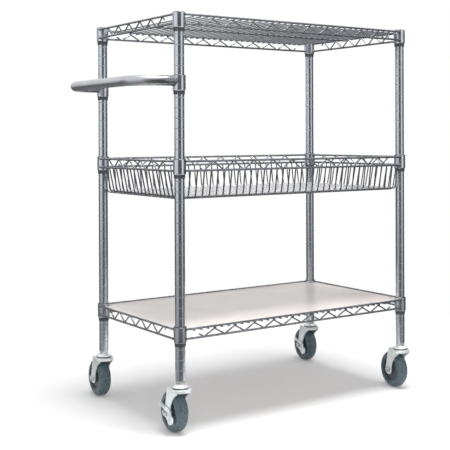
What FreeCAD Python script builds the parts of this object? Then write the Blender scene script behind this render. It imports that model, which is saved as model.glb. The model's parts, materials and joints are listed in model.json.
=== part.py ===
import FreeCAD, Part
import math
import os
import re
import Sketcher

Vector = FreeCAD.Vector

# A wire rolling cart: four grooved posts on swivel casters carry two wire shelves, a hanging
# wire basket between them and a push handle on the left end.
# Millimetres. X runs along the cart (handle at minus X), minus Y is the front, Z is up.
# The origin lies on the floor, in the middle of the box around the whole cart.

# Every length that can be set by itself
LENGTHS = {
    # posts
    "post_spacing_long": 724.0,
    "post_spacing_short": 419.0,
    "post_diameter": 25.0,
    "post_wall": 1.2,
    "groove_pitch": 25.4,
    "groove_depth": 0.6,
    "groove_width": 2.4,
    "post_above_last_groove": 28.4,
    "cap_rise": 1.5,
    "cap_plug": 14.0,
    "insert_length": 42.0,
    # collars and their split sleeves
    "collar_wall": 1.65,
    "collar_height": 38.0,
    "collar_above_rib": 28.9,
    "collar_edge": 1.0,
    "sleeve_clearance": 0.05,
    "sleeve_top_wall": 0.95,
    "sleeve_low_wall": 1.75,
    "sleeve_end_wall": 1.1,
    "sleeve_show_above": 0.5,
    "sleeve_show_below": 9.5,
    "sleeve_taper_above_rib": 5.0,
    "sleeve_rib_gap": 0.25,
    # rims, zigzag wires and decks
    "weld_sink": 0.3,
    "rim_diameter": 5.5,
    "rim_drop": 6.0,
    "rim_spacing": 23.0,
    "rim_bite": 2.0,
    "rim_end_clearance": 0.1,
    "truss_diameter": 3.8,
    "truss_bend": 6.0,
    "truss_stub_rise": 8.0,
    "side_truss_start": 63.0,
    "side_truss_end": 56.0,
    "side_truss_drop": 1.5,
    "deck_wire_diameter": 3.6,
    "deck_wire_margin": 32.0,
    "deck_wire_overhang": 2.0,
    "support_diameter": 5.0,
    "support_overhang": 8.0,
    # hanging basket
    "basket_depth": 66.0,
    "basket_wire_diameter": 3.6,
    "basket_cross_margin": 22.0,
    "basket_long_margin": 29.5,
    "basket_bend": 11.0,
    "basket_side_lean": 10.0,
    "basket_end_lean": 14.0,
    # liner sheets
    "liner_thickness": 2.0,
    "liner_rim_gap": 0.75,
    "liner_truss_gap": 0.5,
    "liner_collar_gap": 2.0,
    "basket_liner_inset": 15.0,
    # push handle
    "handle_tube_diameter": 25.0,
    "handle_wall": 1.5,
    "handle_reach": 108.5,
    "handle_bend": 78.0,
    "handle_drop": 14.5,
    # casters
    "wheel_diameter": 101.6,
    "wheel_width": 32.0,
    "tyre_shoulder": 12.0,
    "tyre_thickness": 17.0,
    "tyre_crown_gap": 2.9,
    "core_web_inset": 5.0,
    "core_rim_thickness": 5.0,
    "core_rim_inset": 2.0,
    "hub_diameter": 26.0,
    "hub_proud": 1.0,
    "hub_gap": 0.5,
    "bush_wall": 3.0,
    "bush_end_gap": 0.2,
    "caster_trail": 30.5,
    "fork_sheet": 2.5,
    "crown_overhang": 6.0,
    "crown_thickness": 8.0,
    "crown_edge": 1.5,
    "leg_top_back": 32.0,
    "leg_top_front": 16.0,
    "leg_end_diameter": 28.0,
    "leg_front_cut": 0.5,
    "race_gap": 1.5,
    "race_diameter": 41.0,
    "race_top_diameter": 26.0,
    "race_height": 8.7,
    "race_rim_height": 3.5,
    "hex_height": 8.3,
    "hex_width": 22.0,
    "stem_diameter": 11.0,
    "stem_length": 38.0,
    "kingpin_diameter": 13.0,
    "kingpin_head_diameter": 19.0,
    "kingpin_head_height": 3.5,
    "swivel_end_gap": 0.3,
    "ball_diameter": 4.8,
    "ball_circle_diameter": 29.0,
    "ball_clearance": 0.3,
    "axle_diameter": 8.0,
    "running_clearance": 0.06,
    "axle_head_diameter": 15.0,
    "axle_head_height": 5.0,
    "axle_end": 1.0,
    "nut_width": 13.0,
    "nut_height": 5.0,
    "nut_flange_diameter": 17.0,
    "nut_flange_height": 1.5,
    # side brakes
    "cam_diameter": 20.0,
    "cam_thickness": 1.5,
    "lever_sheet": 2.0,
    "lever_end_gap": 0.3,
    "lever_hub_diameter": 23.0,
    "lever_front": 25.0,
    "lever_front_rise": 6.0,
    "lever_back": 25.0,
    "lever_back_rise": 19.0,
    "lever_bar_height": 7.0,
    "lever_flange_width": 9.0,
    "pedal_forward": 22.0,
    "pedal_down": 14.0,
    "pedal_width": 24.0,
    "pedal_lip": 2.5,
}

# Angles in degrees; the four casters have swung a little each, as they were parked
ANGLES = {
    "sleeve_half_angle": 174.0,
    "sleeve_split_turn": 45.0,
    "full_turn": 360.0,
    "front_left_yaw": -1.5,
    "back_left_yaw": -2.5,
    "front_right_yaw": -7.0,
    "back_right_yaw": -6.0,
}

# Counts, and the post groove each tier hangs on
COUNTS = {
    "groove_count": 34,
    "top_groove": 34,
    "handle_groove": 28,
    "basket_groove": 20,
    "bottom_groove": 4,
    "deck_wire_count": 34,
    "deck_wires_per_cell": 3,
    "long_truss_cells": 10,
    "side_truss_cells": 5,
    "basket_cross_count": 35,
    "basket_long_count": 19,
    "ball_count": 10,
}

# Sizes that follow from the ones above
DERIVED = {
    "post_radius": "post_diameter / 2",
    "post_bore": "post_radius - post_wall",
    "post_length": "groove_pitch * groove_count + post_above_last_groove",
    "sleeve_bore": "post_radius + sleeve_clearance",
    "sleeve_top_radius": "sleeve_bore + sleeve_top_wall",
    "sleeve_low_radius": "sleeve_bore + sleeve_low_wall",
    "sleeve_top": "collar_above_rib + sleeve_show_above",
    "sleeve_low": "collar_above_rib - collar_height",
    "sleeve_bottom": "sleeve_low - sleeve_show_below",
    "sleeve_rib_reach": "groove_depth - sleeve_rib_gap",
    "sleeve_rib_half": "(sleeve_rib_reach + sleeve_clearance) * groove_width / groove_depth / 2",
    "collar_bore_top": "sleeve_top_radius + sleeve_clearance",
    "collar_bore_low": "sleeve_low_radius + sleeve_clearance",
    "collar_radius": "collar_bore_low + collar_wall",
    "wheel_radius": "wheel_diameter / 2",
    "crown_bottom": "wheel_diameter + tyre_crown_gap",
    "crown_top": "crown_bottom + crown_thickness",
    "race_bottom": "crown_top + race_gap",
    "race_top": "race_bottom + race_height",
    "caster_height": "race_top + hex_height",
    "top_rib": "caster_height + top_groove * groove_pitch",
    "handle_rib": "caster_height + handle_groove * groove_pitch",
    "basket_rib": "caster_height + basket_groove * groove_pitch",
    "bottom_rib": "caster_height + bottom_groove * groove_pitch",
    "top_upper_rim": "top_rib + collar_above_rib - rim_drop",
    "basket_upper_rim": "basket_rib + collar_above_rib - rim_drop",
    "bottom_upper_rim": "bottom_rib + collar_above_rib - rim_drop",
    "rim_radius": "rim_diameter / 2",
    "rim_outset": "collar_radius - rim_bite",
    "rim_inside": "rim_outset - rim_radius",
    "rim_end_gap": "sqrt(collar_bore_low ^ 2 - rim_inside ^ 2) + rim_end_clearance",
    "rim_half_long": "post_spacing_long / 2 + rim_outset",
    "rim_half_short": "post_spacing_short / 2 + rim_outset",
    "rim_length_long": "post_spacing_long - 2 * rim_end_gap",
    "rim_length_short": "post_spacing_short - 2 * rim_end_gap",
    "deck_radius": "deck_wire_diameter / 2",
    "deck_drop": "rim_radius + deck_radius - weld_sink",
    "deck_run": "post_spacing_long - 2 * deck_wire_margin",
    "deck_wire_length": "2 * (rim_half_short + deck_wire_overhang)",
    "support_drop": "deck_drop + deck_radius + support_diameter / 2 - weld_sink",
    "support_length": "deck_run + 2 * support_overhang",
    "long_truss_pitch": "deck_run / (deck_wire_count - 1) * deck_wires_per_cell",
    "side_truss_run": "post_spacing_short - side_truss_start - side_truss_end",
    "side_truss_pitch": "side_truss_run / side_truss_cells",
    "truss_radius": "truss_diameter / 2",
    "truss_inset": "rim_radius + truss_radius - weld_sink",
    "long_truss_drop": "deck_drop + deck_radius + truss_radius - weld_sink",
    "basket_wire_radius": "basket_wire_diameter / 2",
    "basket_lower_rim": "basket_upper_rim - rim_spacing",
    "basket_wire_top": "basket_lower_rim - rim_radius + weld_sink",
    "basket_floor": "basket_lower_rim - basket_depth",
    "basket_long_floor": "basket_floor - basket_wire_diameter + weld_sink",
    "basket_cross_run": "post_spacing_long - 2 * basket_cross_margin",
    "basket_long_run": "post_spacing_short - 2 * basket_long_margin",
    "core_radius": "wheel_radius - tyre_thickness",
    "hub_half": "wheel_width / 2 + hub_proud",
    "bush_radius": "axle_diameter / 2 + running_clearance + bush_wall",
    "fork_inner_half": "hub_half + hub_gap",
    "bush_half": "fork_inner_half - bush_end_gap",
    "fork_half_width": "fork_inner_half + fork_sheet",
    "fork_outer_width": "2 * fork_half_width",
    "crown_radius": "fork_half_width + crown_overhang",
    "leg_front_radius": "crown_bottom - wheel_radius",
    "leg_front_centre": "caster_trail - leg_end_diameter / 2 + leg_front_cut - leg_front_radius",
    "ball_level": "crown_top + race_gap / 2",
    "ball_path_radius": "ball_diameter / 2 + ball_clearance",
    "plain_nut_face": "fork_half_width",
    "braked_nut_face": "fork_half_width + cam_thickness + lever_sheet + 2 * lever_end_gap",
    "lever_face": "fork_half_width + cam_thickness + lever_end_gap",
    "lever_outer_face": "lever_face + lever_sheet",
    "lever_run": "lever_front + lever_back",
    "lever_climb": "lever_back_rise - lever_front_rise",
    "lever_length": "sqrt(lever_run ^ 2 + lever_climb ^ 2)",
    "pedal_length": "sqrt(pedal_forward ^ 2 + pedal_down ^ 2)",
    "pedal_side_y": "pedal_width / 2 * pedal_down / pedal_length",
    "pedal_side_z": "pedal_width / 2 * pedal_forward / pedal_length",
    # middle of the post rectangle, measured from the middle of the box around the cart
    "axle_head_reach": "fork_half_width + axle_head_height",
    "front_right_reach": "axle_head_reach * cos(front_right_yaw)"
                         " + (caster_trail + axle_head_diameter / 3) * abs(sin(front_right_yaw))",
    "back_right_reach": "axle_head_reach * cos(back_right_yaw)"
                        " + (caster_trail + axle_head_diameter / 3) * abs(sin(back_right_yaw))",
    "tyre_back": "caster_trail + wheel_radius - tyre_shoulder",
    "tyre_flat_half": "wheel_width / 2 - tyre_shoulder",
    "back_left_back": "tyre_back * cos(back_left_yaw) + tyre_flat_half * abs(sin(back_left_yaw))",
    "back_right_back": "tyre_back * cos(back_right_yaw) + tyre_flat_half * abs(sin(back_right_yaw))",
    "reach_left": "handle_reach + handle_tube_diameter / 2",
    "reach_right": "max(front_right_reach; back_right_reach)",
    "reach_back": "max(back_left_back; back_right_back) + tyre_shoulder",
    "centre_x": "(reach_left - reach_right) / 2",
    "centre_y": "(crown_radius - reach_back) / 2",
    "post_x_left": "centre_x - post_spacing_long / 2",
    "post_x_right": "centre_x + post_spacing_long / 2",
    "post_y_front": "centre_y - post_spacing_short / 2",
    "post_y_back": "centre_y + post_spacing_short / 2",
}

# The four corners: post place and how far its caster has swung
CORNERS = {
    "front_left": ("post_x_left", "post_y_front", "front_left_yaw"),
    "front_right": ("post_x_right", "post_y_front", "front_right_yaw"),
    "back_left": ("post_x_left", "post_y_back", "back_left_yaw"),
    "back_right": ("post_x_right", "post_y_back", "back_right_yaw"),
}
BRAKED_CORNERS = ("front_left", "back_right")
TIERS = ("top", "basket", "bottom")

# How the sketcher numbers its two axes, and the start, end and centre of a line or circle
HORIZONTAL_AXIS, VERTICAL_AXIS = range(-1, -3, -1)
SKETCH_ORIGIN = HORIZONTAL_AXIS
START, END, CENTRE = range(1, 4)

document = FreeCAD.newDocument("rolling_cart")
sheet = document.addObject("Spreadsheet::Sheet", "sizes")
sub_parts = []


def fill_sheet():
    """Write every size into the sheet, one named cell to a row."""
    cells = {}
    for table in (LENGTHS, ANGLES, COUNTS):
        for name, number in table.items():
            cells[name] = str(number)
    for name, formula in DERIVED.items():
        cells[name] = "=" + formula
    for row, (name, content) in enumerate(cells.items(), start=1):
        sheet.set(f"A{row}", name)
        sheet.set(f"B{row}", content)
        sheet.setAlias(f"B{row}", name)
    document.recompute()
    return set(cells)


NAMES = fill_sheet()


def bound(formula):
    """Return a formula with each size name pointing at its sheet cell."""
    def cell(match):
        word = match.group(0)
        return f"sizes.{word}" if word in NAMES else word
    return re.sub(r"[a-z]\w*", cell, formula)


def value(formula):
    """Return what a formula of size names comes to."""
    return float(sheet.evalExpression(formula))


def bind(thing, setting, formula):
    """Tie one setting of an object to the sheet."""
    thing.setExpression(setting, bound(formula))


def place(thing, x, y, z, yaw="0"):
    """Tie the place of an object, and its turn about Z, to the sheet."""
    bind(thing, "Placement.Base.x", x)
    bind(thing, "Placement.Base.y", y)
    bind(thing, "Placement.Base.z", z)
    if yaw != "0":
        bind(thing, "Placement.Rotation.Angle", yaw)


def keep(thing, label):
    """Name an object as a sub-part of the cart."""
    thing.Label = label
    sub_parts.append(thing)
    return thing


# Sketches and features

def new_body(name):
    """Start a body that may hold several solids."""
    body = document.addObject("PartDesign::Body", name)
    body.AllowCompound = True
    return body


def origin_feature(body, role):
    """Find an axis or a plane of a body's own origin."""
    return next(item for item in body.Origin.OriginFeatures if item.Role == role)


def sketch_on(body, role, offset="0"):
    """Attach an empty sketch to an origin plane, moved along its normal."""
    sketch = body.newObject("Sketcher::SketchObject", "sketch")
    sketch.AttachmentSupport = (origin_feature(body, role), [""])
    sketch.MapMode = "FlatFace"
    if offset != "0":
        bind(sketch, "AttachmentOffset.Base.z", offset)
    return sketch


def pin_point(sketch, geometry, point, x, y):
    """Hold one point of a sketch at the formulas x and y."""
    for kind, axis, formula in (("DistanceX", VERTICAL_AXIS, x), ("DistanceY", HORIZONTAL_AXIS, y)):
        if formula == "0":
            sketch.addConstraint(Sketcher.Constraint("PointOnObject", geometry, point, axis))
            continue
        rule = Sketcher.Constraint(kind, SKETCH_ORIGIN, START, geometry, point, value(formula))
        index = sketch.addConstraint(rule)
        bind(sketch, f"Constraints[{index}]", formula)


def draw_outline(sketch, corners):
    """Draw a closed outline through corners given as pairs of formulas."""
    points = [Vector(value(x), value(y), 0) for x, y in corners]
    first = sketch.GeometryCount
    count = len(points)
    for index in range(count):
        line = Part.LineSegment(points[index], points[(index + 1) % count])
        sketch.addGeometry(line, False)
    for index in range(count):
        following = first + (index + 1) % count
        sketch.addConstraint(Sketcher.Constraint("Coincident", first + index, END, following, START))
    for index, (x, y) in enumerate(corners):
        pin_point(sketch, first + index, START, x, y)


def draw_circle(sketch, x, y, radius):
    """Draw a circle whose centre and radius are formulas."""
    centre = Vector(value(x), value(y), 0)
    index = sketch.addGeometry(Part.Circle(centre, Vector(0, 0, 1), value(radius)), False)
    pin_point(sketch, index, CENTRE, x, y)
    rule = sketch.addConstraint(Sketcher.Constraint("Radius", index, value(radius)))
    bind(sketch, f"Constraints[{rule}]", radius)


def hexagon(width):
    """Return the corners of a hexagon from its width across flats."""
    side = f"{width} / sqrt(3)"
    half = f"{width} / 2"
    return [(side, "0"), (f"{side} / 2", half), (f"-{side} / 2", half),
            (f"-{side}", "0"), (f"-{side} / 2", f"-{half}"), (f"{side} / 2", f"-{half}")]


def add_pad(body, sketch, length, both_ways=False):
    """Pad a sketch along its normal, or half of the length to each side."""
    pad = body.newObject("PartDesign::Pad", "pad")
    pad.Profile = sketch
    pad.SideType = "Symmetric" if both_ways else "One side"
    bind(pad, "Length", length)
    return pad


def add_pocket(body, sketch, length, both_ways=False):
    """Cut a sketch out of a body against its normal, or to both sides."""
    pocket = body.newObject("PartDesign::Pocket", "pocket")
    pocket.Profile = sketch
    pocket.SideType = "Symmetric" if both_ways else "One side"
    bind(pocket, "Length", length)
    return pocket


def add_turn(body, sketch, axis, angle="full_turn"):
    """Revolve a sketch about an axis of the body."""
    turn = body.newObject("PartDesign::Revolution", "turn")
    turn.Profile = sketch
    turn.ReferenceAxis = (origin_feature(body, axis), [""])
    bind(turn, "Angle", angle)
    return turn


def add_groove(body, sketch, axis):
    """Cut a sketch out of a body all round an axis."""
    groove = body.newObject("PartDesign::Groove", "groove")
    groove.Profile = sketch
    groove.ReferenceAxis = (origin_feature(body, axis), [""])
    bind(groove, "Angle", "full_turn")
    return groove


def add_row(body, feature, axis, length, count):
    """Repeat a feature along an axis of the body."""
    row = body.newObject("PartDesign::LinearPattern", "row")
    row.Originals = [feature]
    row.Direction = (origin_feature(body, axis), [""])
    bind(row, "Length", length)
    bind(row, "Occurrences", count)
    body.Tip = row
    return row


def add_fillet(body, feature, wanted, radius):
    """Round the edges of a feature that the test wanted picks out."""
    document.recompute()
    names = [f"Edge{index}" for index, edge in enumerate(feature.Shape.Edges, start=1) if wanted(edge)]
    fillet = body.newObject("PartDesign::Fillet", "fillet")
    fillet.Base = (feature, names)
    bind(fillet, "Radius", radius)
    return fillet


def turned(name, plane, axis, corners, angle="full_turn"):
    """Make a turned piece from the outline of its section."""
    body = new_body(name)
    sketch = sketch_on(body, plane)
    draw_outline(sketch, corners)
    add_turn(body, sketch, axis, angle)
    return body


# Copies and groups

def linked(master, x, y, z, yaw="0"):
    """Place one copy of a master piece."""
    link = document.addObject("App::Link", f"{master.Name}_copy")
    link.LinkedObject = master
    place(link, x, y, z, yaw)
    return link


def group(label, things):
    """Gather separate solids into one named sub-part."""
    compound = document.addObject("Part::Compound", label)
    compound.Links = things
    return keep(compound, label)


def shaped(label, solids):
    """Name wires bent in code as one sub-part about the middle of the post rectangle."""
    feature = document.addObject("Part::Feature", label)
    feature.Shape = Part.makeCompound(solids)
    place(feature, "centre_x", "centre_y", "0")
    return keep(feature, label)


# Bent wires and tubes

def bent_path(points, bend):
    """Return a wire of straight runs joined by round bends."""
    edges = []
    last = points[0]
    for before, corner, after in zip(points, points[1:], points[2:]):
        back = (before - corner).normalize()
        ahead = (after - corner).normalize()
        half_turn = (math.pi - back.getAngle(ahead)) / 2
        tangent = bend * math.tan(half_turn)
        cut = bend * (1 / math.cos(half_turn) - 1)
        arc_start = corner + back * tangent
        arc_end = corner + ahead * tangent
        arc_middle = corner + (back + ahead).normalize() * cut
        edges.append(Part.LineSegment(last, arc_start).toShape())
        edges.append(Part.Arc(arc_start, arc_middle, arc_end).toShape())
        last = arc_end
    edges.append(Part.LineSegment(last, points[-1]).toShape())
    return Part.Wire(edges)


def bent_rod(points, bend, radius):
    """Sweep a round section along straight runs and bends."""
    section = Part.Wire([Part.Circle(points[0], points[1] - points[0], radius).toShape()])
    return bent_path(points, bend).makePipeShell([section], True, False)


def half_turned(solid):
    """Return a copy turned half way about the middle of the cart."""
    half_circle = math.degrees(math.pi)
    return solid.rotated(Vector(0, 0, 0), Vector(0, 0, 1), half_circle)


# Posts

def make_posts():
    """Grooved posts with end caps and the inserts that take the caster stems."""
    post = turned("post", "XZ_Plane", "Z_Axis", [
        ("post_bore", "0"), ("post_radius", "0"),
        ("post_radius", "post_length"), ("post_bore", "post_length")])
    sketch = sketch_on(post, "XZ_Plane")
    draw_outline(sketch, [
        ("post_radius - groove_depth", "groove_pitch"),
        ("post_radius + groove_depth", "groove_pitch - groove_width"),
        ("post_radius + groove_depth", "groove_pitch + groove_width")])
    groove = add_groove(post, sketch, "Z_Axis")
    add_row(post, groove, "Z_Axis", "groove_pitch * (groove_count - 1)", "groove_count")

    cap = turned("cap", "XZ_Plane", "Z_Axis", [
        ("0", "-cap_plug"), ("post_bore", "-cap_plug"), ("post_bore", "0"),
        ("post_radius", "0"), ("post_radius - cap_rise / 2", "cap_rise"), ("0", "cap_rise")])
    insert = turned("insert", "XZ_Plane", "Z_Axis", [
        ("stem_diameter / 2", "0"), ("post_bore", "0"),
        ("post_bore", "insert_length"), ("stem_diameter / 2", "insert_length")])
    caps = []
    inserts = []
    for corner, (x, y, yaw) in CORNERS.items():
        keep(linked(post, x, y, "caster_height"), f"post_{corner}")
        caps.append(linked(cap, x, y, "caster_height + post_length"))
        inserts.append(linked(insert, x, y, "caster_height"))
    group("post_caps", caps)
    group("stem_inserts", inserts)


# Corner collars

def make_collars():
    """Collars of the tiers and the handle, wedged on split sleeves that grip a post groove."""
    collar = turned("collar", "XZ_Plane", "Z_Axis", [
        ("collar_bore_top", "0"), ("collar_radius - collar_edge", "0"), ("collar_radius", "-collar_edge"),
        ("collar_radius", "collar_edge - collar_height"),
        ("collar_radius - collar_edge", "-collar_height"), ("collar_bore_low", "-collar_height"),
        ("collar_bore_top", "sleeve_taper_above_rib - collar_above_rib")])
    half_sleeve = turned("half_sleeve", "XZ_Plane", "Z_Axis", [
        ("sleeve_bore", "sleeve_bottom"), ("sleeve_bore + sleeve_end_wall", "sleeve_bottom"),
        ("sleeve_low_radius", "sleeve_low"), ("sleeve_top_radius", "sleeve_taper_above_rib"),
        ("sleeve_top_radius", "sleeve_top"), ("sleeve_bore", "sleeve_top"),
        ("sleeve_bore", "sleeve_rib_half"), ("post_radius - sleeve_rib_reach", "0"),
        ("sleeve_bore", "-sleeve_rib_half")], "sleeve_half_angle")
    sleeves = []
    for tier in TIERS + ("handle",):
        collars = []
        for corner, (x, y, yaw) in CORNERS.items():
            if tier == "handle" and not corner.endswith("left"):
                continue
            collars.append(linked(collar, x, y, f"{tier}_rib + collar_above_rib"))
            for turn in ("sleeve_split_turn", "sleeve_split_turn + full_turn / 2"):
                sleeves.append(linked(half_sleeve, x, y, f"{tier}_rib", turn))
        group(f"{tier}_collars", collars)
    group("post_sleeves", sleeves)


# Rims, decks and zigzag wires of the tiers

def rod(length, radius, along, x, y, z):
    """Make a straight round rod along X or Y about its middle."""
    cylinder = document.addObject("Part::Cylinder", "rod")
    bind(cylinder, "Radius", radius)
    bind(cylinder, "Height", length)
    direction = Vector(1, 0, 0) if along == "X" else Vector(0, 1, 0)
    cylinder.Placement = FreeCAD.Placement(Vector(0, 0, 0), FreeCAD.Rotation(Vector(0, 0, 1), direction))
    start_x = f"centre_x + {x}"
    start_y = f"centre_y + {y}"
    if along == "X":
        start_x = f"{start_x} - {length} / 2"
    else:
        start_y = f"{start_y} - {length} / 2"
    place(cylinder, start_x, start_y, z)
    return cylinder


def make_rims(tier):
    """Upper and lower rim rods on the four sides of a tier, ends welded into the collars."""
    for level, drop in (("upper", "0"), ("lower", "rim_spacing")):
        z = f"{tier}_upper_rim - {drop}"
        group(f"{tier}_{level}_rims", [
            rod("rim_length_long", "rim_radius", "X", "0", "-rim_half_short", z),
            rod("rim_length_long", "rim_radius", "X", "0", "rim_half_short", z),
            rod("rim_length_short", "rim_radius", "Y", "-rim_half_long", "0", z),
            rod("rim_length_short", "rim_radius", "Y", "rim_half_long", "0", z)])


def make_deck(tier):
    """Cross wires welded under the upper rims, and a support bar under the wires."""
    body = new_body(f"{tier}_deck")
    sketch = sketch_on(body, "XZ_Plane")
    draw_circle(sketch, "-deck_run / 2", f"{tier}_upper_rim - deck_drop", "deck_radius")
    wire = add_pad(body, sketch, "deck_wire_length", both_ways=True)
    add_row(body, wire, "X_Axis", "deck_run", "deck_wire_count")
    place(body, "centre_x", "centre_y", "0")
    keep(body, f"{tier}_deck_wires")
    bar = rod("support_length", "support_diameter / 2", "X", "0", "0", f"{tier}_upper_rim - support_drop")
    keep(bar, f"{tier}_support_bar")


def make_zigzags(tier):
    """Zigzag wires just inside the rims on the four sides of a tier."""
    upper = value(f"{tier}_upper_rim")
    low = upper - value("rim_spacing")
    bend = value("truss_bend")

    def heights(apex, half_pitch):
        """Return corner heights that bring the bends to the apex and the lower rim."""
        half_turn = math.atan2(apex - low, half_pitch)
        cut = bend * (1 / math.cos(half_turn) - 1)
        return apex + cut, low - cut

    half_pitch = value("long_truss_pitch") / 2
    drop = value("long_truss_drop" if tier != "basket" else "side_truss_drop")
    top, bottom = heights(upper - drop, half_pitch)
    cells = int(value("long_truss_cells"))
    stub = value("truss_stub_rise")
    stub_run = stub * half_pitch / (top - bottom)
    y = value("truss_inset - rim_half_short")
    first = -cells * half_pitch
    points = [Vector(first - stub_run, y, bottom + stub)]
    for index in range(2 * cells + 1):
        points.append(Vector(first + index * half_pitch, y, top if index % 2 else bottom))
    points.append(Vector(-first + stub_run, y, bottom + stub))
    front = bent_rod(points, bend, value("truss_radius"))

    half_pitch = value("side_truss_pitch") / 2
    top, bottom = heights(upper - value("side_truss_drop"), half_pitch)
    x = value("truss_inset - rim_half_long")
    stub_run = stub * half_pitch / (top - bottom)
    first = value("side_truss_start - post_spacing_short / 2")
    points = [Vector(x, first - stub_run, top - stub)]
    for index in range(2 * int(value("side_truss_cells")) + 1):
        points.append(Vector(x, first + index * half_pitch, bottom if index % 2 else top))
    left = bent_rod(points, bend, value("truss_radius"))
    shaped(f"{tier}_zigzags", [front, half_turned(front), left, half_turned(left)])


# Hanging basket

def make_basket():
    """Wires bent to a wide U across and along the cart, welded under the lower rims."""
    top = value("basket_wire_top")
    radius = value("basket_wire_radius")
    bend = value("basket_bend")

    half = value("rim_half_short")
    foot = value("rim_half_short - basket_side_lean")
    floor = value("basket_floor")
    count = int(value("basket_cross_count"))
    pitch = value("basket_cross_run") / (count - 1)
    first = value("-basket_cross_run / 2")
    wire = bent_rod([Vector(first, -half, top), Vector(first, -foot, floor),
                     Vector(first, foot, floor), Vector(first, half, top)], bend, radius)
    shaped("basket_cross_wires", [wire.translated(Vector(index * pitch, 0, 0)) for index in range(count)])

    half = value("rim_half_long")
    foot = value("rim_half_long - basket_end_lean")
    floor = value("basket_long_floor")
    count = int(value("basket_long_count"))
    pitch = value("basket_long_run") / (count - 1)
    first = value("-basket_long_run / 2")
    wire = bent_rod([Vector(-half, first, top), Vector(-foot, first, floor),
                     Vector(foot, first, floor), Vector(half, first, top)], bend, radius)
    shaped("basket_long_wires", [wire.translated(Vector(0, index * pitch, 0)) for index in range(count)])


# Liner sheets

def make_liners():
    """A sheet with cut-out corners on the bottom shelf and a plain one on the basket floor."""
    body = new_body("bottom_sheet")
    sketch = sketch_on(body, "XY_Plane", "bottom_upper_rim - deck_drop + deck_radius")
    edge_x = "(rim_half_long - truss_inset - truss_radius - liner_truss_gap)"
    edge_y = "(rim_half_short - rim_radius - liner_rim_gap)"
    notch_x = "(post_spacing_long / 2 - collar_radius - liner_collar_gap)"
    notch_y = "(post_spacing_short / 2 - collar_radius - liner_collar_gap)"
    draw_outline(sketch, [
        (f"-{notch_x}", f"-{edge_y}"), (notch_x, f"-{edge_y}"), (notch_x, f"-{notch_y}"),
        (edge_x, f"-{notch_y}"), (edge_x, notch_y), (notch_x, notch_y),
        (notch_x, edge_y), (f"-{notch_x}", edge_y), (f"-{notch_x}", notch_y),
        (f"-{edge_x}", notch_y), (f"-{edge_x}", f"-{notch_y}"), (f"-{notch_x}", f"-{notch_y}")])
    add_pad(body, sketch, "liner_thickness")
    place(body, "centre_x", "centre_y", "0")
    keep(body, "bottom_liner")

    body = new_body("basket_sheet")
    sketch = sketch_on(body, "XY_Plane", "basket_floor + basket_wire_radius")
    half_x = "(rim_half_long - basket_end_lean - basket_liner_inset)"
    half_y = "(rim_half_short - basket_side_lean - basket_liner_inset)"
    draw_outline(sketch, [(f"-{half_x}", f"-{half_y}"), (half_x, f"-{half_y}"),
                          (half_x, half_y), (f"-{half_x}", half_y)])
    add_pad(body, sketch, "liner_thickness")
    place(body, "centre_x", "centre_y", "0")
    keep(body, "basket_liner")


# Push handle

def make_handle():
    """One tube bent to a U, its ends cut to the round of the two handle collars."""
    radius = value("handle_tube_diameter / 2")
    level = value("handle_rib + collar_above_rib - handle_drop")
    post_x = value("-post_spacing_long / 2")
    post_y = value("post_spacing_short / 2")
    far_x = post_x - value("handle_reach")
    points = [Vector(post_x, -post_y, level), Vector(far_x, -post_y, level),
              Vector(far_x, post_y, level), Vector(post_x, post_y, level)]
    bend = value("handle_bend")
    tube = bent_rod(points, bend, radius)
    tube = tube.cut(bent_rod(points, bend, radius - value("handle_wall")))
    height = value("collar_height")
    for y in (-post_y, post_y):
        saddle = Part.makeCylinder(value("collar_radius"), height, Vector(post_x, y, level - height / 2))
        tube = tube.cut(saddle)
    shaped("handle_tube", tube.Solids)


# Casters

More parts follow.
